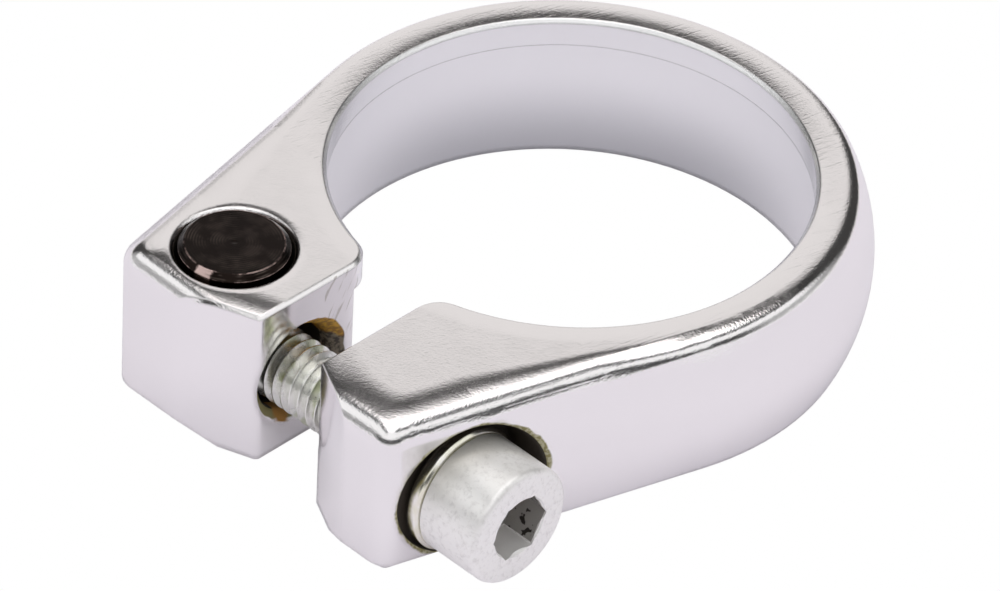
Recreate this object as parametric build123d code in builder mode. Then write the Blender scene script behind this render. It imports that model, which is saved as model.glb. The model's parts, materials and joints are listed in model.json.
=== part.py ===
from build123d import *
import os
from math import cos, radians, sin, sqrt, tan

os.makedirs("parts", exist_ok=True)

# Seatpost clamp: a split band that draws a bicycle's seat tube closed on the seatpost.
# Z runs up the bore, whose axis meets the band's flat underside at the origin.
# The two ears point to -Y, and the screw lies along X with its head towards +X.

# Band
bore_diameter = 34.9
band_wall = 3.1
band_height = 12.0
lip_height = 2.1
lip_ledge = 1.15
crown_radius = 12.5
rim_rounding = 1.4
foot_chamfer = 1.1
wall_overlap = 1.0
inner_chamfer = 0.25

# Slot between the ears, a little off the bore's middle
slot_width = 5.7
slot_offset = 0.55
lip_throat_radius = 2.2
bore_throat_radius = 1.0

# Ears: the outer faces run off the band at a slant, the ends fall back towards the slot
screw_from_bore = 5.0
screw_height = 5.6
nut_end_wall = 1.85
head_end_wall = 1.15
ear_set_in = 1.05
nut_ear_slant = 11.65
head_ear_slant = 16.4
nut_corner_flat = 0.8
head_corner_flat = 0.15
nut_flare_angle = 20.0
head_flare_angle = 27.0
flare_depth = 2.1
nut_mouth_radius = 0.4
head_mouth_radius = 2.0

# Barrel nut
nut_diameter = 7.5
nut_length = 12.0
nut_setback = 6.5
nut_proud = 0.5
nut_chamfer = 0.4

# Screw and washer
thread_diameter = 5.0
screw_length = 25.0
tip_chamfer = 0.6
head_diameter = 8.5
head_height = 5.0
head_chamfer = 0.35
socket_width = 4.0
socket_depth = 2.6
washer_diameter = 9.0
washer_thickness = 1.0
washer_chamfer = 0.2
seat_thickness = 8.55

# Clearances: on the radius, apart from the room past the nut and the slack screw's lift off the washer's
# seat and drop below the middle of its holes
nut_play = 0.25
thread_play = 0.1
screw_hole_play = 0.7
screw_end_room = 1.2
washer_play = 0.15
counterbore_play = 0.5
washer_lift = 0.3
screw_drop = 0.4

# Edge breaks of the drilled holes
nut_hole_chamfer = 0.25
screw_hole_chamfer = 0.7
countersink_taper = 45
counterbore_chamfer = 0.2

# Sizes that follow
bore_radius = bore_diameter / 2
lip_radius = bore_radius - lip_ledge
outer_radius = bore_radius + band_wall
half_height = band_height / 2
crown_sag = crown_radius - sqrt(crown_radius**2 - half_height**2)
core_inset = crown_sag + rim_rounding
wall_depth = core_inset + wall_overlap
screw_z = screw_height - screw_drop
screw_y = -(bore_radius + screw_from_bore)
screw_hole_radius = thread_diameter / 2 + screw_hole_play
nut_hole_radius = nut_diameter / 2 + nut_play
counterbore_radius = washer_diameter / 2 + counterbore_play
nut_end_y = screw_y - nut_hole_radius - nut_end_wall
head_end_y = screw_y - counterbore_radius - head_end_wall
mouth_y = nut_end_y + flare_depth
flare_y = head_end_y - flare_depth
slot_nut_x = slot_offset - slot_width / 2
slot_head_x = slot_offset + slot_width / 2
nut_x = slot_nut_x - nut_setback
seat_x = slot_head_x + seat_thickness
washer_x = seat_x + washer_lift
head_x = washer_x + washer_thickness
tip_x = head_x - screw_length
head_end_x = head_x + head_height
hole_end_x = nut_x - nut_hole_radius - screw_end_room


def face_point(slant, side, y):
    # Point at y on the plan line that leaves the band at this slant, on the nut side -1 or the head side 1
    return (side * (outer_radius + y * sin(radians(slant))) / cos(radians(slant)), y)


def wall_section(plane, set_in, sag, depth):
    # Upright section of the outer wall, crowned by this sag or flat, with a round rim and a chamfered foot
    foot = (-set_in - sag, -half_height)
    head = (-set_in - sag, half_height)
    with BuildSketch(plane) as section:
        with BuildLine():
            if sag > 0:
                ThreePointArc(foot, (-set_in, 0), head)
            else:
                Line(foot, head)
            Polyline(head, (-set_in - depth, half_height), (-set_in - depth, -half_height), foot)
        make_face()
        fillet(section.vertices().group_by(Axis.Y)[-1].sort_by(Axis.X)[-1], rim_rounding)
        chamfer(section.vertices().group_by(Axis.Y)[0].sort_by(Axis.X)[-1], foot_chamfer)
    return section.sketch


nut_leave = face_point(nut_ear_slant, -1, -outer_radius * sin(radians(nut_ear_slant)))
head_leave = face_point(head_ear_slant, 1, -outer_radius * sin(radians(head_ear_slant)))
nut_corner = face_point(nut_ear_slant, -1, nut_end_y)
head_corner = face_point(head_ear_slant, 1, head_end_y)

with BuildPart() as clamp_band:
    # Core of the band with both ears, inside the walls and not yet split
    with BuildSketch():
        with BuildLine():
            ThreePointArc(nut_leave, (0, outer_radius), head_leave)
            Polyline(head_leave, head_corner, nut_corner, nut_leave)
        make_face()
        offset(amount=-core_inset)
    extrude(amount=band_height)

    for slant, side, corner_flat, end_y in (
        (nut_ear_slant, -1, nut_corner_flat, nut_end_y),
        (head_ear_slant, 1, head_corner_flat, head_end_y),
    ):
        # Ways out of this ear's face and along it, and the middle of its upright corner
        outward = Vector(side * cos(radians(slant)), -sin(radians(slant)), 0)
        onward = Vector(-side * sin(radians(slant)), -cos(radians(slant)), 0)
        corner_radius = rim_rounding + corner_flat
        corner_out = outer_radius - ear_set_in - corner_radius
        corner_along = -(end_y + corner_radius + corner_out * sin(radians(slant))) / cos(radians(slant))
        corner = outward * corner_out + onward * corner_along + Vector(0, 0, half_height)

        # The wall flattens from the band's crown to the corner, turns it and runs on to the slot
        leave_point = outward * outer_radius + Vector(0, 0, half_height)
        leave = Plane(origin=leave_point, x_dir=outward, z_dir=onward * side)
        turn = leave.offset(side * corner_along)
        crown = wall_section(leave, 0, crown_sag, wall_depth)
        loft([crown, wall_section(turn, ear_set_in, 0, wall_depth)], ruled=True)
        revolve(
            wall_section(turn, ear_set_in, 0, corner_radius),
            axis=Axis(corner, (0, 0, -side)),
            revolution_arc=90 - slant,
        )
        end = Plane(origin=(corner.X, end_y, half_height), x_dir=(0, -1, 0), z_dir=(-1, 0, 0))
        extrude(wall_section(end, 0, 0, wall_depth), amount=corner.X - slot_offset)

    # The same crown, turned round the band from the head ear to the nut ear
    revolve(crown, axis=Axis.Z, revolution_arc=180 + nut_ear_slant + head_ear_slant)

    # Bore below and lip above, each with the slot, whose flared mouth makes the ears' ends fall back
    for opening_radius, throat_radius, base, height in (
        (bore_radius, bore_throat_radius, 0, band_height - lip_height),
        (lip_radius, lip_throat_radius, band_height - lip_height, lip_height),
    ):
        with BuildSketch(Plane.XY.offset(base)) as opening:
            Circle(opening_radius)
            with BuildLine():
                Polyline(
                    (slot_nut_x, 0),
                    (slot_nut_x, mouth_y),
                    (slot_nut_x - (mouth_y - flare_y) / tan(radians(nut_flare_angle)), flare_y),
                    (slot_head_x + (mouth_y - flare_y) / tan(radians(head_flare_angle)), flare_y),
                    (slot_head_x, mouth_y),
                    (slot_head_x, 0),
                    close=True,
                )
            make_face()
            fillet(opening.vertices().sort_by(Axis.Y)[4:6], throat_radius)
            fillet(opening.vertices().group_by(Axis.Y)[1].sort_by(Axis.X)[0], nut_mouth_radius)
            fillet(opening.vertices().group_by(Axis.Y)[1].sort_by(Axis.X)[-1], head_mouth_radius)
        extrude(amount=height, mode=Mode.SUBTRACT)

    # The lip's top edge, and with it the edges of the slot and the mouth that run on from it
    chamfer(clamp_band.edges().sort_by_distance((0, lip_radius, band_height))[0], inner_chamfer)

    # Upright hole for the barrel nut
    with Locations((nut_x, screw_y, band_height)):
        Hole(nut_hole_radius)
    top_circles = clamp_band.faces().sort_by(Axis.Z)[-1].edges().filter_by(GeomType.CIRCLE)
    chamfer(top_circles.sort_by_distance((nut_x, screw_y, band_height))[0], nut_hole_chamfer)

    # Cross hole for the screw, blind past the nut, with the washer's counterbore in the head ear.
    # Its mouths in the slot are countersunk.
    with Locations(Plane(origin=(outer_radius, screw_y, screw_height), z_dir=(1, 0, 0)).location):
        CounterBoreHole(
            radius=screw_hole_radius,
            counter_bore_radius=counterbore_radius,
            counter_bore_depth=outer_radius - seat_x,
            depth=outer_radius - hole_end_x,
        )
    for slot_x, into in ((slot_nut_x, -1), (slot_head_x, 1)):
        with BuildSketch(Plane(origin=(slot_x, screw_y, screw_height), z_dir=(into, 0, 0))):
            Circle(screw_hole_radius + screw_hole_chamfer)
        extrude(amount=screw_hole_chamfer, taper=countersink_taper, mode=Mode.SUBTRACT)
    counterbore_wall = clamp_band.faces().filter_by(GeomType.CYLINDER).sort_by(Axis.X)[-1]
    chamfer(counterbore_wall.edges().filter_by(GeomType.BSPLINE), counterbore_chamfer)

clamp_band.part.label = "clamp_band"
export_step(clamp_band.part, "parts/clamp_band.step")

with BuildPart() as barrel_nut:
    with BuildSketch(Plane.XY.offset(band_height + nut_proud - nut_length)):
        with Locations((nut_x, screw_y)):
            Circle(nut_diameter / 2)
    extrude(amount=nut_length)
    chamfer(barrel_nut.edges().filter_by(GeomType.CIRCLE), nut_chamfer)
    with Locations(Plane(origin=(nut_x, screw_y, screw_z), z_dir=(1, 0, 0)).location):
        Hole(thread_diameter / 2 + thread_play)

barrel_nut.part.label = "barrel_nut"
export_step(barrel_nut.part, "parts/barrel_nut.step")

with BuildPart() as washer:
    with BuildSketch(Plane.YZ.offset(washer_x)):
        with Locations((screw_y, screw_z)):
            Circle(washer_diameter / 2)
            Circle(thread_diameter / 2 + washer_play, mode=Mode.SUBTRACT)
    extrude(amount=washer_thickness)
    chamfer(washer.edges().filter_by(GeomType.CIRCLE).group_by(SortBy.RADIUS)[-1], washer_chamfer)

washer.part.label = "washer"
export_step(washer.part, "parts/washer.step")

with BuildPart() as clamp_screw:
    with BuildSketch(Plane.YZ.offset(tip_x)):
        with Locations((screw_y, screw_z)):
            Circle(thread_diameter / 2)
    extrude(amount=screw_length)
    chamfer(clamp_screw.edges().sort_by(Axis.X)[0], tip_chamfer)
    with BuildSketch(Plane.YZ.offset(head_x)):
        with Locations((screw_y, screw_z)):
            Circle(head_diameter / 2)
    extrude(amount=head_height)
    chamfer(clamp_screw.edges().sort_by(Axis.X)[-1], head_chamfer)
    with BuildSketch(Plane.YZ.offset(head_end_x)):
        with Locations((screw_y, screw_z)):
            RegularPolygon(socket_width / 2, 6, major_radius=False)
    extrude(amount=-socket_depth, mode=Mode.SUBTRACT)

clamp_screw.part.label = "clamp_screw"
export_step(clamp_screw.part, "parts/clamp_screw.step")
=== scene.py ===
import json
import math
import bmesh
import bpy
from mathutils import Matrix, Vector


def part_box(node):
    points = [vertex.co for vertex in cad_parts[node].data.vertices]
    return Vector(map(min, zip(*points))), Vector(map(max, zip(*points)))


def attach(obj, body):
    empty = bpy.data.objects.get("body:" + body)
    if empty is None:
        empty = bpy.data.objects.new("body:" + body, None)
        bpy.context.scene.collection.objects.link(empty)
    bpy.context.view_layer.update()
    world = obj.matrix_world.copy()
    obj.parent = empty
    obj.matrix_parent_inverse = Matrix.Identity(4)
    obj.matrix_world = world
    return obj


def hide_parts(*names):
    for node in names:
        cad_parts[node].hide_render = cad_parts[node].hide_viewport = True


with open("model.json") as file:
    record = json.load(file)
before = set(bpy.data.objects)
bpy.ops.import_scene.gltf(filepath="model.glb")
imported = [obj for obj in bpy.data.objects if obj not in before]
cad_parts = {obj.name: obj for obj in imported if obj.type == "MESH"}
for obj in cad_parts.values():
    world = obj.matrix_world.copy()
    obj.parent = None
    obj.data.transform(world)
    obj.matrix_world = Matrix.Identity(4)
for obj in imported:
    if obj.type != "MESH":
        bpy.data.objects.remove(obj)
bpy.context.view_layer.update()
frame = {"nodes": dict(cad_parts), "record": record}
nodes = frame["nodes"]
print("frame loaded")

mm = 0.001

# Places read from the frame
bandLow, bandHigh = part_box("clamp_band")
nutLow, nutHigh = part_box("barrel_nut")
washerLow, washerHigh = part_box("washer")
screwLow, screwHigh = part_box("clamp_screw")
nutX = (nutLow.x + nutHigh.x) / 2
nutRadius = (nutHigh.x - nutLow.x) / 2
washerRadius = (washerHigh.y - washerLow.y) / 2
screwY = (screwLow.y + screwHigh.y) / 2
screwZ = (screwLow.z + screwHigh.z) / 2
headRadius = (screwHigh.y - screwLow.y) / 2
headX = washerHigh.x  # the head bears on the washer
mounts = {mount["name"]: mount["dims"] for mount in frame["record"]["mounts"]}
boreRadius = mounts["seat_tube_socket"]["r_mm"] * mm
lipRadius = mounts["seatpost_hole"]["r_mm"] * mm

tree = None  # the node tree that the short helpers below add to


def newTree(name):
    global tree
    material = bpy.data.materials.new(name)
    material.use_nodes = True
    tree = material.node_tree
    tree.nodes.clear()
    return material


def addNode(kind, **values):
    node = tree.nodes.new(kind)
    for key, value in values.items():
        setattr(node, key, value)
    return node


def feed(socket, value):
    if isinstance(value, (int, float)):
        socket.default_value = value
    elif isinstance(value, tuple):
        socket.default_value = value if len(value) == len(socket.default_value) else (*value, 1)
    else:
        tree.links.new(value, socket)


def newMetal(name):
    material = newTree(name)
    shader = addNode("ShaderNodeBsdfPrincipled")
    feed(addNode("ShaderNodeOutputMaterial").inputs["Surface"], shader.outputs[0])
    return material, shader


def calc(operation, *values):
    node = addNode("ShaderNodeMath", operation=operation)
    for socket, value in zip(node.inputs, values):
        feed(socket, value)
    return node.outputs[0]


def total(*values):
    result = values[0]
    for value in values[1:]:
        result = calc("ADD", result, value)
    return result


def minus(value, by):
    return calc("SUBTRACT", value, by)


def scaled(value, by):
    return calc("MULTIPLY", value, by)


def both(*masks):
    result = masks[0]
    for mask in masks[1:]:
        result = scaled(result, mask)
    return result


def either(*masks):
    result = masks[0]
    for mask in masks[1:]:
        result = calc("MAXIMUM", result, mask)
    return result


def flip(mask):
    return minus(1.0, mask)


def less(value, limit):
    return calc("LESS_THAN", value, limit)


def more(value, limit):
    return calc("GREATER_THAN", value, limit)


def nearTo(value, place, within):
    return less(calc("ABSOLUTE", minus(value, place)), within)


def rise(value, low, high, kind="SMOOTHSTEP", toLow=0.0, toHigh=1.0):
    node = addNode("ShaderNodeMapRange", interpolation_type=kind)
    feed(node.inputs["Value"], value)
    for name, number in (("From Min", low), ("From Max", high), ("To Min", toLow), ("To Max", toHigh)):
        node.inputs[name].default_value = number
    return node.outputs["Result"]


def fall(value, low, high):
    return rise(value, low, high, toLow=1.0, toHigh=0.0)


def fadePast(value, edge, fade):
    return fall(value, edge + fade[0], edge + fade[1])


def tint(factor, a, b):
    node = addNode("ShaderNodeMix", data_type="RGBA")
    for index, value in ((0, factor), (6, a), (7, b)):
        feed(node.inputs[index], value)
    return node.outputs[2]


def pick(factor, a, b):
    node = addNode("ShaderNodeMix", data_type="FLOAT")
    for index, value in ((0, factor), (2, a), (3, b)):
        feed(node.inputs[index], value)
    return node.outputs[0]


def noise(coords, scale, detail=2.0, rough=0.5):
    node = addNode("ShaderNodeTexNoise")
    feed(node.inputs["Vector"], coords)
    for name, number in (("Scale", scale), ("Detail", detail), ("Roughness", rough)):
        node.inputs[name].default_value = number
    return node.outputs["Fac"]


def along(x, y, dx, dy):
    return total(scaled(x, dx), scaled(y, dy))


def reach(a, b):
    return calc("SQRT", along(a, b, a, b))


def heading(degrees):
    return math.cos(math.radians(degrees)), math.sin(math.radians(degrees))


def streaks(x, y, z, degrees, across, onward, upward=600.0):
    # Noise drawn out along this plan heading
    c, s = heading(degrees)
    node = addNode("ShaderNodeCombineXYZ")
    feed(node.inputs[0], scaled(along(x, y, -s, c), across))
    feed(node.inputs[1], scaled(along(x, y, c, s), onward))
    feed(node.inputs[2], scaled(z, upward))
    return noise(node.outputs[0], 1.0)


def bumped(height, normal=None):
    node = addNode("ShaderNodeBump")  # heights are in metres
    feed(node.inputs["Height"], height)
    node.inputs["Strength"].default_value = 1.0
    node.inputs["Distance"].default_value = 1.0
    if normal is not None:
        feed(node.inputs["Normal"], normal)
    return node.outputs["Normal"]


def softNormal(radius):
    node = addNode("ShaderNodeBevel", samples=6)
    feed(node.inputs["Radius"], radius)
    return node.outputs[0]


def splitXYZ(vector):
    node = addNode("ShaderNodeSeparateXYZ")
    feed(node.inputs[0], vector)
    return node.outputs[0], node.outputs[1], node.outputs[2]


def objectCoords():
    coords = addNode("ShaderNodeTexCoord").outputs["Object"]
    return (coords, *splitXYZ(coords))


# Band: polished aluminium, whose flat top the polishing wheel has rolled over towards its edges.
# Pairs are a fade's start and end.
band = {
    "colour": (0.915, 0.895, 0.90), "bore": (0.965, 0.965, 0.97), "boreShade": (0.60, 0.605, 0.62),
    "topRough": 0.16, "sideRough": 0.12, "boreRough": 0.22, "patchScale": 500, "patchRough": 0.08,
    # Its form, where the finish follows it
    "headSlant": 16.4, "nutSlant": 11.65, "headFlare": 27.0, "nutFlare": 20.0,
    "slotNut": -2.3 * mm, "slotHead": 3.4 * mm, "mouthY": -26.2 * mm, "edgeBreak": 0.25 * mm,
    "holeZ": 5.6 * mm, "holeRadius": 3.2 * mm, "holeEnd": -14.3 * mm, "sink": 0.7 * mm,
    "seatX": 11.5 * mm, "seatRoom": 0.5 * mm, "nutRoom": 0.25 * mm, "boreSkin": 0.2 * mm,
    # The rolled top: how wide it is, how far it leans and how it bends beyond the flat
    "rimWidth": 2.4 * mm, "endWidth": 1.5 * mm, "cornerBlend": 1.6 * mm,
    "widen": (3 * mm, 17 * mm), "ringWidth": 0.1 * mm, "earWidth": 2.45 * mm,
    "leanOver": (2 * mm, 8 * mm), "earLean": 0.225, "ringBend": -150.0, "earBend": 65.0,
    "bendTo": 0.9 * mm, "bendBlend": 0.3 * mm,
    "lipWidth": 1.6 * mm, "lipLean": 0.15, "holeWidth": 0.6 * mm, "holeLean": 0.2,
    # Soft edges, and where the top, the rim and the grain lie by the upward part of the normal
    "softEdge": 0.2 * mm, "softWall": 0.9 * mm, "wallEnd": (8.5 * mm, 10 * mm),
    "topNormal": (0.90, 0.99), "rimNormal": (0.15, 0.5), "rimEnd": (0.97, 0.999), "grainNormal": (0.2, 0.9),
    # Hand finish: scales of the noise, and heights
    "waveScale": 150, "grainScale": 6200, "pebbleScale": 2600, "fewScale": 260, "few": (0.50, 0.64),
    "wave": 12e-6, "grain": 7e-6, "wallGrain": 0.12, "rimGrain": 8e-6, "pebble": 3e-6,
    "hair": 0.8e-6, "hairStreaks": ((20, 5200, 260), (110, 5600, 300)), "hairs": ((0.66, 0.74), (0.68, 0.76)),
    "brush": 3.0e-6, "brushStreaks": (76.0, 5200, 420), "strokes": (0.52, 0.72), "brushFrom": -12 * mm,
    # Painted shade darkening the foot of the bore across from the head ear, standing in for a reflection, and
    # score marks on the nut ear's slot face
    "boreShadeHeading": 133.0, "boreShadeSide": (0.3, 0.95), "boreShadeFoot": (0.5 * mm, 7 * mm), "boreShadeTone": (0.9, 0.2),
    "scoreTone": 0.45, "scoreStreaks": (62, 3000, 330), "scores": (0.56, 0.64), "scoreSkin": 0.1 * mm,
    "scoreFrom": -20.4 * mm, "scoreTo": 0.9, "scoreAbove": 6.5 * mm,
}
residue = {
    "dark": (0.042, 0.033, 0.024), "olive": (0.30, 0.27, 0.12), "pale": (0.56, 0.53, 0.36),
    "orange": (0.80, 0.47, 0.06), "amber": (0.45, 0.23, 0.05), "brown": (0.30, 0.255, 0.20),
    "black": (0.085, 0.07, 0.058), "rough": 0.6, "matt": 0.85,
    "lumpScale": 650, "lumpBy": 0.7 * mm, "speckScale": 3200, "speckBy": 0.06 * mm,
    "skin": 0.05 * mm, "seatSkin": 0.06 * mm, "belowTop": 0.12 * mm,
    "polishFade": (0.58 * mm, 0.74 * mm), "polishSpecks": (0.42, 0.60), "lineFade": (0.14 * mm, 0.26 * mm),
    "collarHalf": 0.8 * mm, "collarFade": (0.34 * mm, 0.48 * mm), "rustDepth": 2.2 * mm, "rustOver": 0.1 * mm,
    # Sectors round the slot's hole, as the middle and half the width in degrees
    "rustAt": (32, 42), "crustAt": (88, 28), "lowRustAt": (-156, 11), "wander": 0.5,
    "sectorFade": (0.17, 0.27), "rustSpecks": (0.40, 0.62), "crustSpecks": (0.40, 0.58),
}


def rollOff(inside, width, lean):
    # Drop towards an edge: none at this width in, then steeper up to this lean where the flat ends
    onFlat = calc("MINIMUM", calc("MAXIMUM", minus(width, inside), 0.0), width)
    past = calc("MAXIMUM", scaled(inside, -1.0), 0.0)
    drop = total(calc("DIVIDE", scaled(onFlat, onFlat), scaled(width, 2.0)), past)
    return scaled(scaled(drop, -1.0), lean)


def topRoll(x, y, axial, fromNut):
    # How far in from the outer rim, the ears' ends and the flared mouth, on the nut side and the head side
    ways = []
    for slant, flare, slotX, side in (
        (band["nutSlant"], band["nutFlare"], band["slotNut"], -1),
        (band["headSlant"], band["headFlare"], band["slotHead"], 1),
    ):
        c, s = heading(slant)
        flareC, flareS = heading(flare)
        flareStart = side * flareS * slotX + flareC * band["mouthY"] + band["edgeBreak"]
        outTo, onTo = along(x, y, side * c, -s), along(x, y, -side * s, -c)
        ways.append((outTo, onTo, minus(along(x, y, side * flareS, flareC), flareStart)))
    atHeadSide = more(x, 0.0)
    outward, onward, flareIn = [pick(atHeadSide, a, b) for a, b in zip(*ways)]
    wall = pick(more(onward, 0.0), axial, outward)
    rimIn = minus(bandHigh.y - band["rimWidth"], wall)
    endIn = minus(y, bandLow.y + band["endWidth"])
    inside = calc("SMOOTH_MIN", rimIn, endIn, band["cornerBlend"])
    inside = calc("SMOOTH_MIN", inside, flareIn, band["cornerBlend"])
    width = rise(onward, *band["widen"], "LINEAR", band["ringWidth"], band["earWidth"])
    lean = rise(onward, *band["leanOver"], "LINEAR", 0.0, band["earLean"])
    bend = rise(onward, *band["leanOver"], "LINEAR", band["ringBend"], band["earBend"])
    past = calc("MAXIMUM", scaled(inside, -1.0), 0.0)
    past = calc("SMOOTH_MIN", past, band["bendTo"], band["bendBlend"])
    lipIn = minus(axial, lipRadius + band["edgeBreak"])
    holeIn = minus(fromNut, nutRadius + band["nutRoom"] + band["edgeBreak"])
    return total(
        rollOff(inside, width, lean),
        scaled(both(past, past, bend), -1.0),
        rollOff(lipIn, band["lipWidth"], band["lipLean"]),
        rollOff(holeIn, band["holeWidth"], band["holeLean"]),
    )


def handFinish(coords, x, y, z, upward, top):
    # Slow waves, fine grain, a few hair scratches, and strokes one way over the ring
    wave = noise(coords, band["waveScale"], 1.0)
    grain = noise(coords, band["grainScale"], 2.0, 0.6)
    pebble = noise(coords, band["pebbleScale"], 1.0)
    onRim = both(rise(upward, *band["rimNormal"]), fall(upward, *band["rimEnd"]))
    few = rise(noise(coords, band["fewScale"], 1.0), *band["few"])
    drawn = zip(band["hairStreaks"], band["hairs"])
    hairs = either(*[rise(streaks(x, y, z, *streak), *part) for streak, part in drawn])
    strokes = rise(streaks(x, y, z, *band["brushStreaks"]), *band["strokes"])
    onRing = both(top, more(y, band["brushFrom"]))
    return total(
        scaled(wave, band["wave"]),
        scaled(both(grain, rise(upward, *band["grainNormal"], toLow=band["wallGrain"])), band["grain"]),
        scaled(both(grain, onRim), band["rimGrain"]),
        scaled(both(pebble, top), band["pebble"]),
        scaled(both(hairs, few), -band["hair"]),
        scaled(both(strokes, onRing), -band["brush"]),
    )


def boreColourAndShade(x, y, z):
    # The bore's far side is painted darker towards its foot: painted shade standing in for a reflection
    sideways = along(x, y, *heading(band["boreShadeHeading"]))
    onSide = rise(sideways, *[share * boreRadius for share in band["boreShadeSide"]])
    boreShade = both(onSide, rise(z, *band["boreShadeFoot"], "SMOOTHSTEP", *band["boreShadeTone"]))
    return tint(boreShade, band["bore"], band["boreShade"])


def scoreMarks(x, y, z):
    onFace = nearTo(x, band["slotNut"], band["scoreSkin"])
    byBore = both(more(y, band["scoreFrom"]), less(y, -boreRadius * band["scoreTo"]))
    marks = rise(streaks(y, z, x, *band["scoreStreaks"]), *band["scores"])
    return both(onFace, byBore, more(z, band["scoreAbove"]), marks)


def holeSoil(coords, x, y, z, fromNut):
    # The holes darker inside, with dried polish and corrosion round their mouths, as masks and colours to lay
    # on
    acrossY = minus(y, screwY)
    acrossZ = minus(z, band["holeZ"])
    fromScrew = reach(acrossY, acrossZ)
    bearing = calc("ARCTAN2", acrossY, acrossZ)  # 0 over the hole, towards the bore at a quarter turn
    lumps = noise(coords, residue["lumpScale"], 1.0)
    specks = noise(coords, residue["speckScale"])
    ragged = total(fromScrew, scaled(lumps, residue["lumpBy"]), scaled(specks, residue["speckBy"]))
    counterbore = washerRadius + band["seatRoom"]
    mouth = band["holeRadius"] + band["sink"]

    def sector(middle, half):
        away = calc("ABSOLUTE", minus(bearing, math.radians(middle)))
        wandering = total(away, scaled(lumps, residue["wander"]))
        return fadePast(wandering, math.radians(half), residue["sectorFade"])

    atHead = more(x, band["seatX"])
    atSlot = nearTo(x, band["slotNut"] - band["sink"], residue["collarHalf"])
    slotFrom = band["slotNut"] - residue["rustDepth"]
    inMouth = both(more(x, slotFrom), less(x, band["slotNut"] + residue["rustOver"]))
    inNutHole = less(fromNut, nutRadius + band["nutRoom"] + residue["skin"])
    darkInHoles = either(
        both(atHead, less(fromScrew, counterbore + residue["seatSkin"])),
        both(less(fromScrew, band["holeRadius"] + residue["skin"]), more(x, band["holeEnd"])),
        both(inNutHole, less(z, bandHigh.z - residue["belowTop"])),
    )
    polish = both(atHead, fadePast(ragged, counterbore, residue["polishFade"]))
    line = both(atSlot, fadePast(ragged, mouth, residue["lineFade"]))
    collar = fadePast(ragged, mouth, residue["collarFade"])
    crust = both(atSlot, collar, sector(*residue["crustAt"]))
    rust = both(inMouth, collar, sector(*residue["rustAt"]))
    lowRust = both(atSlot, collar, sector(*residue["lowRustAt"]))
    return [
        (polish, tint(rise(specks, *residue["polishSpecks"]), residue["olive"], residue["pale"])),
        (line, residue["olive"]),
        (darkInHoles, residue["dark"]),
        (crust, tint(rise(specks, *residue["crustSpecks"]), residue["black"], residue["brown"])),
        (rust, tint(rise(specks, *residue["rustSpecks"]), residue["amber"], residue["orange"])),
        (lowRust, residue["amber"]),
    ]


def bandMaterial():
    material, shader = newMetal("polishedAluminium")
    coords, x, y, z = objectCoords()
    axial = reach(x, y)
    fromNut = reach(minus(x, nutX), minus(y, screwY))
    soft = softNormal(rise(z, *band["wallEnd"], "LINEAR", band["softWall"], band["softEdge"]))
    upward = splitXYZ(soft)[2]
    top = rise(upward, *band["topNormal"])
    height = total(topRoll(x, y, axial, fromNut), handFinish(coords, x, y, z, upward, top))
    feed(shader.inputs["Normal"], bumped(height, soft))

    inBore = both(less(axial, boreRadius + band["boreSkin"]), flip(top))
    colour = tint(inBore, band["colour"], boreColourAndShade(x, y, z))
    colour = tint(scaled(scoreMarks(x, y, z), band["scoreTone"]), colour, residue["brown"])
    layers = holeSoil(coords, x, y, z, fromNut)
    for mask, tone in layers:
        colour = tint(mask, colour, tone)
    soiled = either(*[mask for mask, tone in layers])
    feed(shader.inputs["Base Color"], colour)
    feed(shader.inputs["Metallic"], flip(scaled(soiled, residue["matt"])))
    patches = scaled(noise(coords, band["patchScale"], 3.0), band["patchRough"])
    smooth = pick(inBore, pick(top, band["sideRough"], band["topRough"]), band["boreRough"])
    smooth = total(smooth, patches, -band["patchRough"] / 2)
    feed(shader.inputs["Roughness"], pick(soiled, smooth, residue["rough"]))
    return material


# Nut: black oxide over turned steel, worn through at its edge with painted highlights laid along it, and a
# painted highlight on one side coloured as bare metal
nut = {
    "colour": (0.015, 0.0105, 0.009), "ringColour": (0.075, 0.060, 0.052), "wearAndHighlight": (0.62, 0.47, 0.44),
    "rough": 0.17, "unevenRough": 0.14, "softEdge": 0.08 * mm, "chamfer": 0.4 * mm,
    "ring": 0.19 * mm, "ringDepth": 2.6e-6, "ringPart": (0.35, 0.7), "ringTone": (-0.4, 1.0),
    "unevenScale": 420, "turnedScale": 900, "turnedPart": (0.38, 0.66),
    "grain": 2.6e-6, "grainScale": 4200, "dimple": 0.3 * mm, "dimpleDepth": 30e-6,
    "highlightAngle": -78.0, "highlightSpread": (0.990, 1.000), "highlightTone": 0.95, "speckScale": 2600, "speckBy": 0.02,
    "wearGlintHalf": 0.05 * mm, "wearGlintSkin": 0.03 * mm, "wearGlintPart": (0.50, 0.76), "wearAndReflectionTone": 0.65,
    "wearGlintUneven": 0.7, "wearGlintSpecks": 0.5,
}


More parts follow.
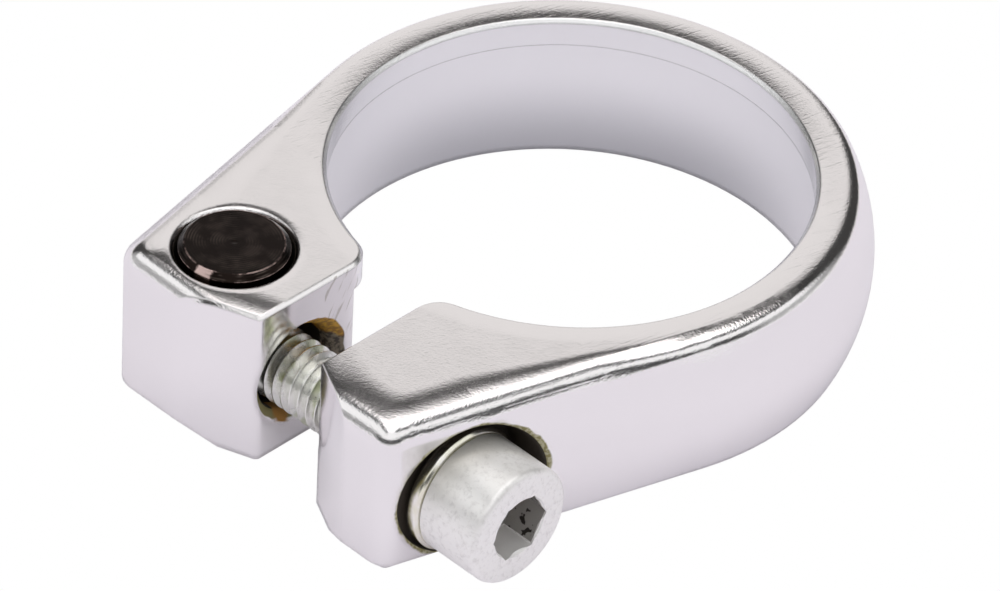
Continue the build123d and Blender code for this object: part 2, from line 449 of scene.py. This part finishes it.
def nutMaterial():
    material, shader = newMetal("blackOxide")
    coords, x, y, z = objectCoords()
    dx = minus(x, nutX)
    dy = minus(y, screwY)
    out = reach(dx, dy)
    rings = calc("SINE", scaled(out, 2 * math.pi / nut["ring"]))
    uneven = noise(coords, nut["unevenScale"])
    height = total(
        scaled(both(rings, rise(uneven, *nut["ringPart"])), nut["ringDepth"]),
        scaled(noise(coords, nut["grainScale"], 3.0, 0.6), nut["grain"]),
        scaled(rise(out, 0.0, nut["dimple"]), nut["dimpleDepth"]),
    )
    feed(shader.inputs["Normal"], bumped(height, softNormal(nut["softEdge"])))
    edgeOut = nutRadius - nut["chamfer"]
    specks = noise(coords, nut["speckScale"])
    # A strip on the side coloured as bare metal where the side's highlight falls: a painted highlight
    facing = calc("DIVIDE", along(dx, dy, *heading(nut["highlightAngle"])), out)
    highlightPatch = both(rise(total(facing, scaled(specks, nut["speckBy"])), *nut["highlightSpread"]), more(out, edgeOut))
    # The chamfer's edges rubbed lighter: wear, with painted highlights along them
    onTopEdge = nearTo(out, edgeOut, nut["wearGlintHalf"])
    atSide = more(out, nutRadius - nut["wearGlintSkin"])
    onSideEdge = both(atSide, nearTo(z, nutHigh.z - nut["chamfer"], nut["wearGlintHalf"]))
    blotches = total(scaled(uneven, nut["wearGlintUneven"]), scaled(specks, nut["wearGlintSpecks"]))
    edgeWearAndGlint = both(either(onTopEdge, onSideEdge), rise(blotches, *nut["wearGlintPart"]))
    wearAndHighlight = either(scaled(highlightPatch, nut["highlightTone"]), scaled(edgeWearAndGlint, nut["wearAndReflectionTone"]))
    turned = rise(noise(coords, nut["turnedScale"]), *nut["turnedPart"])
    colour = tint(both(rise(rings, *nut["ringTone"]), turned), nut["colour"], nut["ringColour"])
    feed(shader.inputs["Base Color"], tint(wearAndHighlight, colour, nut["wearAndHighlight"]))
    feed(shader.inputs["Roughness"], total(scaled(uneven, nut["unevenRough"]), nut["rough"]))
    shader.inputs["Metallic"].default_value = 1.0
    return material


# Washer: bright zinc plate, a little yellow
washer = {
    "colour": (0.84, 0.82, 0.70), "bright": (0.975, 0.965, 0.95), "rough": 0.12, "cloudRough": 0.16,
    "cloudScale": 700, "cloud": (0.4, 0.7), "grain": 2.0e-6, "grainScale": 4200, "softEdge": 0.15 * mm,
}


def washerMaterial():
    material, shader = newMetal("zincWasher")
    coords = objectCoords()[0]
    cloud = noise(coords, washer["cloudScale"], 3.0)
    grain = scaled(noise(coords, washer["grainScale"], 3.0, 0.6), washer["grain"])
    feed(shader.inputs["Normal"], bumped(grain, softNormal(washer["softEdge"])))
    feed(shader.inputs["Base Color"], tint(rise(cloud, *washer["cloud"]), washer["colour"], washer["bright"]))
    feed(shader.inputs["Roughness"], total(scaled(cloud, washer["cloudRough"]), washer["rough"]))
    shader.inputs["Metallic"].default_value = 1.0
    return material


finishes = {"clamp_band": bandMaterial, "barrel_nut": nutMaterial, "washer": washerMaterial}
for name, makeMaterial in finishes.items():
    nodes[name].data.materials.clear()
    nodes[name].data.materials.append(makeMaterial())
print("band, nut and washer finished")

# Screw: a rolled thread on the shank, and a hexagon socket whose mouth is lightly countersunk
screw = {
    "pitch": 0.8 * mm, "crest": 2.5 * mm, "root": 2.02 * mm,
    "crestFlat": 0.1, "rootFlat": 0.18,  # shares of the pitch
    "stepsPerTurn": 48, "spareTurns": 3, "mergeWithin": 0.002 * mm, "tipChamfer": 0.6 * mm,
    "headEdge": 0.5 * mm, "edgeSteps": 6, "flat": 2.08 * mm, "socketDepth": 2.6 * mm,
    "drillDepth": 0.55 * mm, "drillTip": 0.3 * mm, "drillShare": 0.92,
    "mouth": 2.26 * mm, "mouthSlope": 0.8, "footEdge": 0.12 * mm, "footGap": 0.02 * mm,
    "segments": 96, "sunk": 0.1 * mm, "sharpFrom": 32.0,
}
# Its finish: zinc plate, dull and grainy, with dirt spots and painted shade in the socket, a painted
# highlight on its lowest wall, and a painted dark reflection on the head's top by the washer
zinc = {
    "head": (0.975, 0.965, 0.95), "thread": (0.86, 0.865, 0.825), "grit": (0.60, 0.585, 0.57),
    "socket": (0.66, 0.64, 0.61), "socketWallShade": (0.40, 0.385, 0.365), "spot": (0.03, 0.025, 0.022),
    "darkReflection": (0.52, 0.50, 0.45), "stain": (0.46, 0.50, 0.27),
    "headRough": 0.26, "threadRough": 0.16, "cloudRough": 0.2, "headMetal": 0.45, "threadMetal": 0.9,
    "grain": 8e-6, "grainScale": 5200, "cloudScale": 620, "underHead": 0.02 * mm,
    "gritScale": 2300, "gritPart": (0.45, 0.75), "gritTone": 0.5,
    "stainScale": 480, "stainPart": (0.58, 0.70), "stainTone": 0.6,
    "reflectionFade": (0.4 * mm, 3.2 * mm), "wearAndReflectionTone": 0.7,
    "spotScale": 1700, "spotPart": (0.57, 0.62), "socketSkin": 0.05 * mm, "mouthSkin": 0.15 * mm,
    "drillRoom": 0.7 * mm, "wallShare": 0.96,
}
screwLength = headX - screwLow.x
front = screwHigh.x - headX
socketFloor = front - screw["socketDepth"]


def screwMaterial():
    material, shader = newMetal("zincScrew")
    coords, x, y, z = objectCoords()
    out = reach(minus(y, screwY), minus(z, screwZ))
    shank = less(x, headX - zinc["underHead"])
    grain = noise(coords, zinc["grainScale"], 3.0, 0.65)
    feed(shader.inputs["Normal"], bumped(scaled(grain, zinc["grain"])))

    grit = rise(noise(coords, zinc["gritScale"], 4.0, 0.7), *zinc["gritPart"])
    stain = both(shank, rise(noise(coords, zinc["stainScale"], 1.0), *zinc["stainPart"]))
    # The head's top by the washer is painted darker: a painted reflection of the dark counterbore
    darkReflection = both(fadePast(x, headX, zinc["reflectionFade"]), rise(z, screwZ, screwHigh.z), flip(shank))
    colour = tint(shank, zinc["head"], zinc["thread"])
    colour = tint(scaled(grit, zinc["gritTone"]), colour, zinc["grit"])
    colour = tint(scaled(stain, zinc["stainTone"]), colour, zinc["stain"])
    colour = tint(scaled(darkReflection, zinc["wearAndReflectionTone"]), colour, zinc["darkReflection"])

    # Inside the socket: spots of dirt, its floor and walls darker as painted shade, and the lowest wall
    # bright as a painted highlight from the light overhead
    pastFloor = more(x, headX + socketFloor - zinc["drillRoom"])
    inSocket = both(pastFloor, less(out, hexRadius(0) + zinc["socketSkin"]))
    deep = both(inSocket, less(x, screwHigh.x - zinc["mouthSkin"]))
    onWall = both(deep, more(out, screw["flat"] * zinc["wallShare"]))
    litLowWall = both(deep, less(z, screwZ - screw["flat"] * zinc["wallShare"]))
    spots = rise(noise(coords, zinc["spotScale"]), *zinc["spotPart"])
    wallShade = tint(onWall, zinc["socket"], zinc["socketWallShade"])
    colour = tint(deep, colour, tint(spots, wallShade, zinc["spot"]))
    feed(shader.inputs["Base Color"], tint(litLowWall, colour, zinc["head"]))

    cloud = noise(coords, zinc["cloudScale"], 3.0)
    rough = pick(shank, zinc["headRough"], zinc["threadRough"])
    feed(shader.inputs["Roughness"], total(rough, scaled(cloud, zinc["cloudRough"])))
    feed(shader.inputs["Metallic"], pick(shank, zinc["headMetal"], zinc["threadMetal"]))
    return material


def cutOff(form, place, way):
    everything = form.verts[:] + form.edges[:] + form.faces[:]
    bmesh.ops.bisect_plane(form, geom=everything, plane_co=place, plane_no=way, clear_outer=True)


def rollThread(mesh):
    # One pitch from root to root, spun along the shank, cut to length and tapered at the tip
    pitch, root, crest, steps = screw["pitch"], screw["root"], screw["crest"], screw["stepsPerTurn"]
    turns = int(screwLength / pitch) + screw["spareTurns"]
    halfRoot, halfCrest = screw["rootFlat"] / 2, screw["crestFlat"] / 2
    profile = [
        (0.0, root), (halfRoot, root), (0.5 - halfCrest, crest),
        (0.5 + halfCrest, crest), (1.0 - halfRoot, root), (1.0, root),
    ]
    verts = [mesh.verts.new((-screwLength + (part - 1) * pitch, 0, radius)) for part, radius in profile]
    edges = [mesh.edges.new(pair) for pair in zip(verts, verts[1:])]
    bmesh.ops.spin(mesh, geom=verts + edges, cent=(0, 0, 0), axis=(1, 0, 0), dvec=(pitch / steps, 0, 0),
                   angle=2 * math.pi * turns, steps=steps * turns, use_merge=False, use_duplicate=False)
    bmesh.ops.remove_doubles(mesh, verts=mesh.verts, dist=screw["mergeWithin"])
    cutOff(mesh, (-screwLength, 0, 0), (-1, 0, 0))
    cutOff(mesh, (screw["sunk"], 0, 0), (1, 0, 0))
    for vert in mesh.verts:
        limit = crest - screw["tipChamfer"] + vert.co.x + screwLength
        radius = math.hypot(vert.co.y, vert.co.z)
        if radius > limit:
            vert.co.y *= limit / radius
            vert.co.z *= limit / radius
    bmesh.ops.triangle_fill(mesh, use_beauty=True, edges=[edge for edge in mesh.edges if edge.is_boundary])


def hexRadius(angle):
    return screw["flat"] / math.cos(angle % (math.pi / 3) - math.pi / 6)


def mouthRadius(angle):
    return max(screw["mouth"], hexRadius(angle))


def formHead(mesh):
    # Rings from the drilled point of the socket out over the rim to the bearing face, as (along, radius)
    edge, foot, footGap = screw["headEdge"], screw["footEdge"], screw["footGap"]
    rings = [
        lambda a: (socketFloor, screw["flat"] * screw["drillShare"]),
        lambda a: (socketFloor, hexRadius(a)),
        lambda a: (front - (mouthRadius(a) - hexRadius(a)) / screw["mouthSlope"], hexRadius(a)),
        lambda a: (front, mouthRadius(a)),
    ]
    for step in range(screw["edgeSteps"] + 1):
        c, s = heading(90 * step / screw["edgeSteps"])
        rings.append(lambda a, c=c, s=s: (front - (1 - c) * edge, headRadius - edge + s * edge))
    rings += [
        lambda a: (footGap + foot, headRadius),
        lambda a: (footGap, headRadius - foot),
        lambda a: (footGap, screw["root"] / 2),
    ]
    drillX = socketFloor - screw["drillDepth"]
    place = Matrix.Translation((drillX, 0, 0)) @ Matrix.Rotation(math.pi / 2, 4, "Y")
    start = bmesh.ops.create_circle(mesh, cap_ends=True, segments=screw["segments"], radius=screw["drillTip"],
                                    matrix=place)
    loop = list({item for vert in start["verts"] for item in vert.link_edges})
    for ring in rings:
        grown = bmesh.ops.extrude_edge_only(mesh, edges=loop)["geom"]
        loop = [item for item in grown if isinstance(item, bmesh.types.BMEdge)]
        for vert in {vert for item in loop for vert in item.verts}:
            angle = math.atan2(vert.co.z, vert.co.y)
            at, radius = ring(angle)
            vert.co = (at, radius * math.cos(angle), radius * math.sin(angle))
        loop = [item for item in loop if item.is_boundary]
    bmesh.ops.edgeloop_fill(mesh, edges=loop)


screwForm = bmesh.new()
rollThread(screwForm)
print("thread rolled", len(screwForm.faces))
formHead(screwForm)
bmesh.ops.recalc_face_normals(screwForm, faces=screwForm.faces[:])
bmesh.ops.translate(screwForm, verts=screwForm.verts[:], vec=(headX, screwY, screwZ))
screwMesh = bpy.data.meshes.new("screwThreaded")
screwForm.to_mesh(screwMesh)
screwForm.free()
screwMesh.polygons.foreach_set("use_smooth", [True] * len(screwMesh.polygons))
screwMesh.set_sharp_from_angle(angle=math.radians(screw["sharpFrom"]))
screwMesh.materials.append(screwMaterial())
screwPiece = bpy.data.objects.new("screwThreaded", screwMesh)
bpy.context.collection.objects.link(screwPiece)
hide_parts("clamp_screw")
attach(screwPiece, "screw")
print("screw finished", len(screwMesh.polygons))


def stagePiece(name, form, material):
    data = bpy.data.meshes.new(name)
    form.to_mesh(data)
    form.free()
    data.materials.append(material)
    piece = bpy.data.objects.new(name, data)
    bpy.context.collection.objects.link(piece)
    return piece


def whiteToCamera(name, shown):
    # White where the camera sees it, and this shader where the metal mirrors it or it lights the object
    material = newTree(name)
    mix = addNode("ShaderNodeMixShader")
    feed(mix.inputs[0], addNode("ShaderNodeLightPath").outputs["Is Camera Ray"])
    feed(mix.inputs[1], shown())
    feed(mix.inputs[2], addNode("ShaderNodeEmission").outputs[0])
    feed(addNode("ShaderNodeOutputMaterial").inputs["Surface"], mix.outputs[0])
    return material


# Floor: pale paper that keeps the object's shade in what the metal mirrors
floor = {
    "size": 3.0, "drop": 0.05 * mm, "paper": (0.92, 0.892, 0.95), "lift": (0.12, 0.1145, 0.125),
    "shade": 0.12, "shadeReach": 14 * mm, "shadeColour": (0.0, 0.0, 0.0),
}


def paperShader():
    nearby = addNode("ShaderNodeAmbientOcclusion", samples=8)
    nearby.inputs["Distance"].default_value = floor["shadeReach"]
    shade = calc("POWER", nearby.outputs["AO"], floor["shade"])
    paper = addNode("ShaderNodeBsdfDiffuse")
    feed(paper.inputs["Color"], tint(shade, floor["shadeColour"], floor["paper"]))
    lift = addNode("ShaderNodeEmission")
    feed(lift.inputs["Color"], tint(shade, floor["shadeColour"], floor["lift"]))
    added = addNode("ShaderNodeAddShader")
    feed(added.inputs[0], paper.outputs[0])
    feed(added.inputs[1], lift.outputs[0])
    return added.outputs[0]


sheet = bmesh.new()
bmesh.ops.create_grid(sheet, x_segments=1, y_segments=1, size=floor["size"])
bmesh.ops.translate(sheet, verts=sheet.verts[:], vec=(0, 0, -floor["drop"]))
stagePiece("floor", sheet, whiteToCamera("palePaper", paperShader))

# Camera: the photo's angle, and how far the picture's middle lies aside of the object's and above it
camera = {
    "azimuth": 42.94, "elevation": 38.71, "roll": 3.45, "distance": 545 * mm, "lens": 293.2, "sensor": 36,
    "nearest": 10 * mm, "centre": Vector((0, 0, 6 * mm)), "aside": -4.52 * mm, "above": -3.74 * mm,
}

# Dome: a soft box overhead, a dark ring below it, pale walls, and a dark skirting except behind the object.
# Heights and turns are in degrees, turns from behind the object. The flank and the ring's end are
# measured from -1 behind the object to 1 at the camera.
dome = {
    "radius": 1.5, "segments": 128, "rings": 240, "below": 20 * mm,
    "far": 0.82, "side": 0.97, "warm": (0.0, 0.03, 0.045), "flank": (-0.75, -0.2),
    "box": 1.5, "boxFrom": 57.0, "boxFade": 2.0,
    "dark": 0.03, "ringFar": 43.5, "ringSide": 45.0, "ringFade": 2.5, "ringEnd": (0.75, 0.95),
    "skirt": 0.05, "skirtFrom": 3.0, "skirtFade": 4.0, "skirtTo": 21.0, "skirtEnd": 3.0,
    "cornerRight": 9.0, "cornerLeft": 16.0, "cornerFade": 10.0, "cornerEnd": (58, 78), "cornerTo": 44.0,
    "gap": 0.45, "gapStart": (62, 80), "gapEnd": (100, 114),
}


def ease(value, low, high):
    part = min(1.0, max(0.0, (value - low) / (high - low)))
    return part * part * (3 - 2 * part)


def mixed(a, b, share):
    return a + (b - a) * share


def glow(direction):
    height = math.degrees(math.asin(max(-1.0, min(1.0, direction.z))))
    c, s = heading(camera["azimuth"])
    level = max(1e-6, math.hypot(direction.x, direction.y))
    near = (direction.x * s - direction.y * c) / level
    right = (direction.x * c + direction.y * s) / level
    turned = abs(math.degrees(math.atan2(right, -near)))
    flank = ease(near, *dome["flank"])
    over = ease(height, dome["boxFrom"], dome["boxFrom"] + dome["boxFade"])
    ringFrom = mixed(dome["ringFar"], dome["ringSide"], flank)
    ring = ease(height, ringFrom, ringFrom + dome["ringFade"]) * (1 - over)
    ring *= 1 - ease(near, *dome["ringEnd"])
    cornerFrom = dome["cornerRight"] if right > 0 else dome["cornerLeft"]
    corner = ease(turned, cornerFrom, cornerFrom + dome["cornerFade"])
    corner *= 1 - ease(turned, *dome["cornerEnd"])
    gap = ease(turned, *dome["gapStart"]) * (1 - ease(turned, *dome["gapEnd"]))
    skirtTo = mixed(dome["skirtTo"], dome["cornerTo"], corner)
    skirt = ease(height, dome["skirtFrom"], dome["skirtFrom"] + dome["skirtFade"]) * max(flank, corner)
    skirt *= 1 - ease(height, skirtTo, skirtTo + dome["skirtEnd"])
    bright = mixed(dome["far"], dome["side"], flank)
    bright = mixed(bright, dome["box"], over)
    bright = mixed(bright, dome["dark"], ring)
    bright = mixed(bright, mixed(dome["skirt"], dome["gap"], gap), skirt)
    return (*[bright * (1 - warm * (1 - flank)) for warm in dome["warm"]], 1.0)


def domeShader():
    lamp = addNode("ShaderNodeEmission")
    feed(lamp.inputs["Color"], addNode("ShaderNodeAttribute", attribute_name="glow").outputs["Color"])
    return lamp.outputs[0]


ball = bmesh.new()
bmesh.ops.create_uvsphere(ball, u_segments=dome["segments"], v_segments=dome["rings"], radius=dome["radius"])
cutOff(ball, (0, 0, -dome["below"]), (0, 0, -1))
bmesh.ops.reverse_faces(ball, faces=ball.faces[:])
shell = stagePiece("dome", ball, whiteToCamera("studioDome", domeShader)).data
glowLayer = shell.attributes.new("glow", "FLOAT_COLOR", "POINT")
for index, vert in enumerate(shell.vertices):
    glowLayer.data[index].color = glow(vert.co.normalized())
world = bpy.data.worlds.new("studio")
bpy.context.scene.world = world
world.use_nodes = True
world.node_tree.nodes["Background"].inputs["Color"].default_value = (0, 0, 0, 1)
print("floor and dome set")

azimuth, elevation, roll = [math.radians(camera[name]) for name in ("azimuth", "elevation", "roll")]
back = Matrix.Rotation(azimuth, 3, "Z") @ Vector((0, -math.cos(elevation), math.sin(elevation)))
flatRight = Vector((math.cos(azimuth), math.sin(azimuth), 0))
upright = back.cross(flatRight)
rightHand = flatRight * math.cos(roll) + upright * math.sin(roll)
overhead = upright * math.cos(roll) - flatRight * math.sin(roll)
eye = camera["centre"] + back * camera["distance"]
aim = camera["centre"] + rightHand * camera["aside"] + overhead * camera["above"]
away = (eye - aim).normalized()
across = overhead.cross(away).normalized()
lens = bpy.data.cameras.new("camera")
lens.lens = camera["lens"]
lens.sensor_width = camera["sensor"]
lens.clip_start = camera["nearest"]
viewer = bpy.data.objects.new("camera", lens)
viewer.matrix_world = Matrix((across, away.cross(across), away)).transposed().to_4x4()
viewer.location = eye
bpy.context.collection.objects.link(viewer)
bpy.context.scene.camera = viewer
bpy.context.scene.view_settings.view_transform = "Standard"
print("camera set")
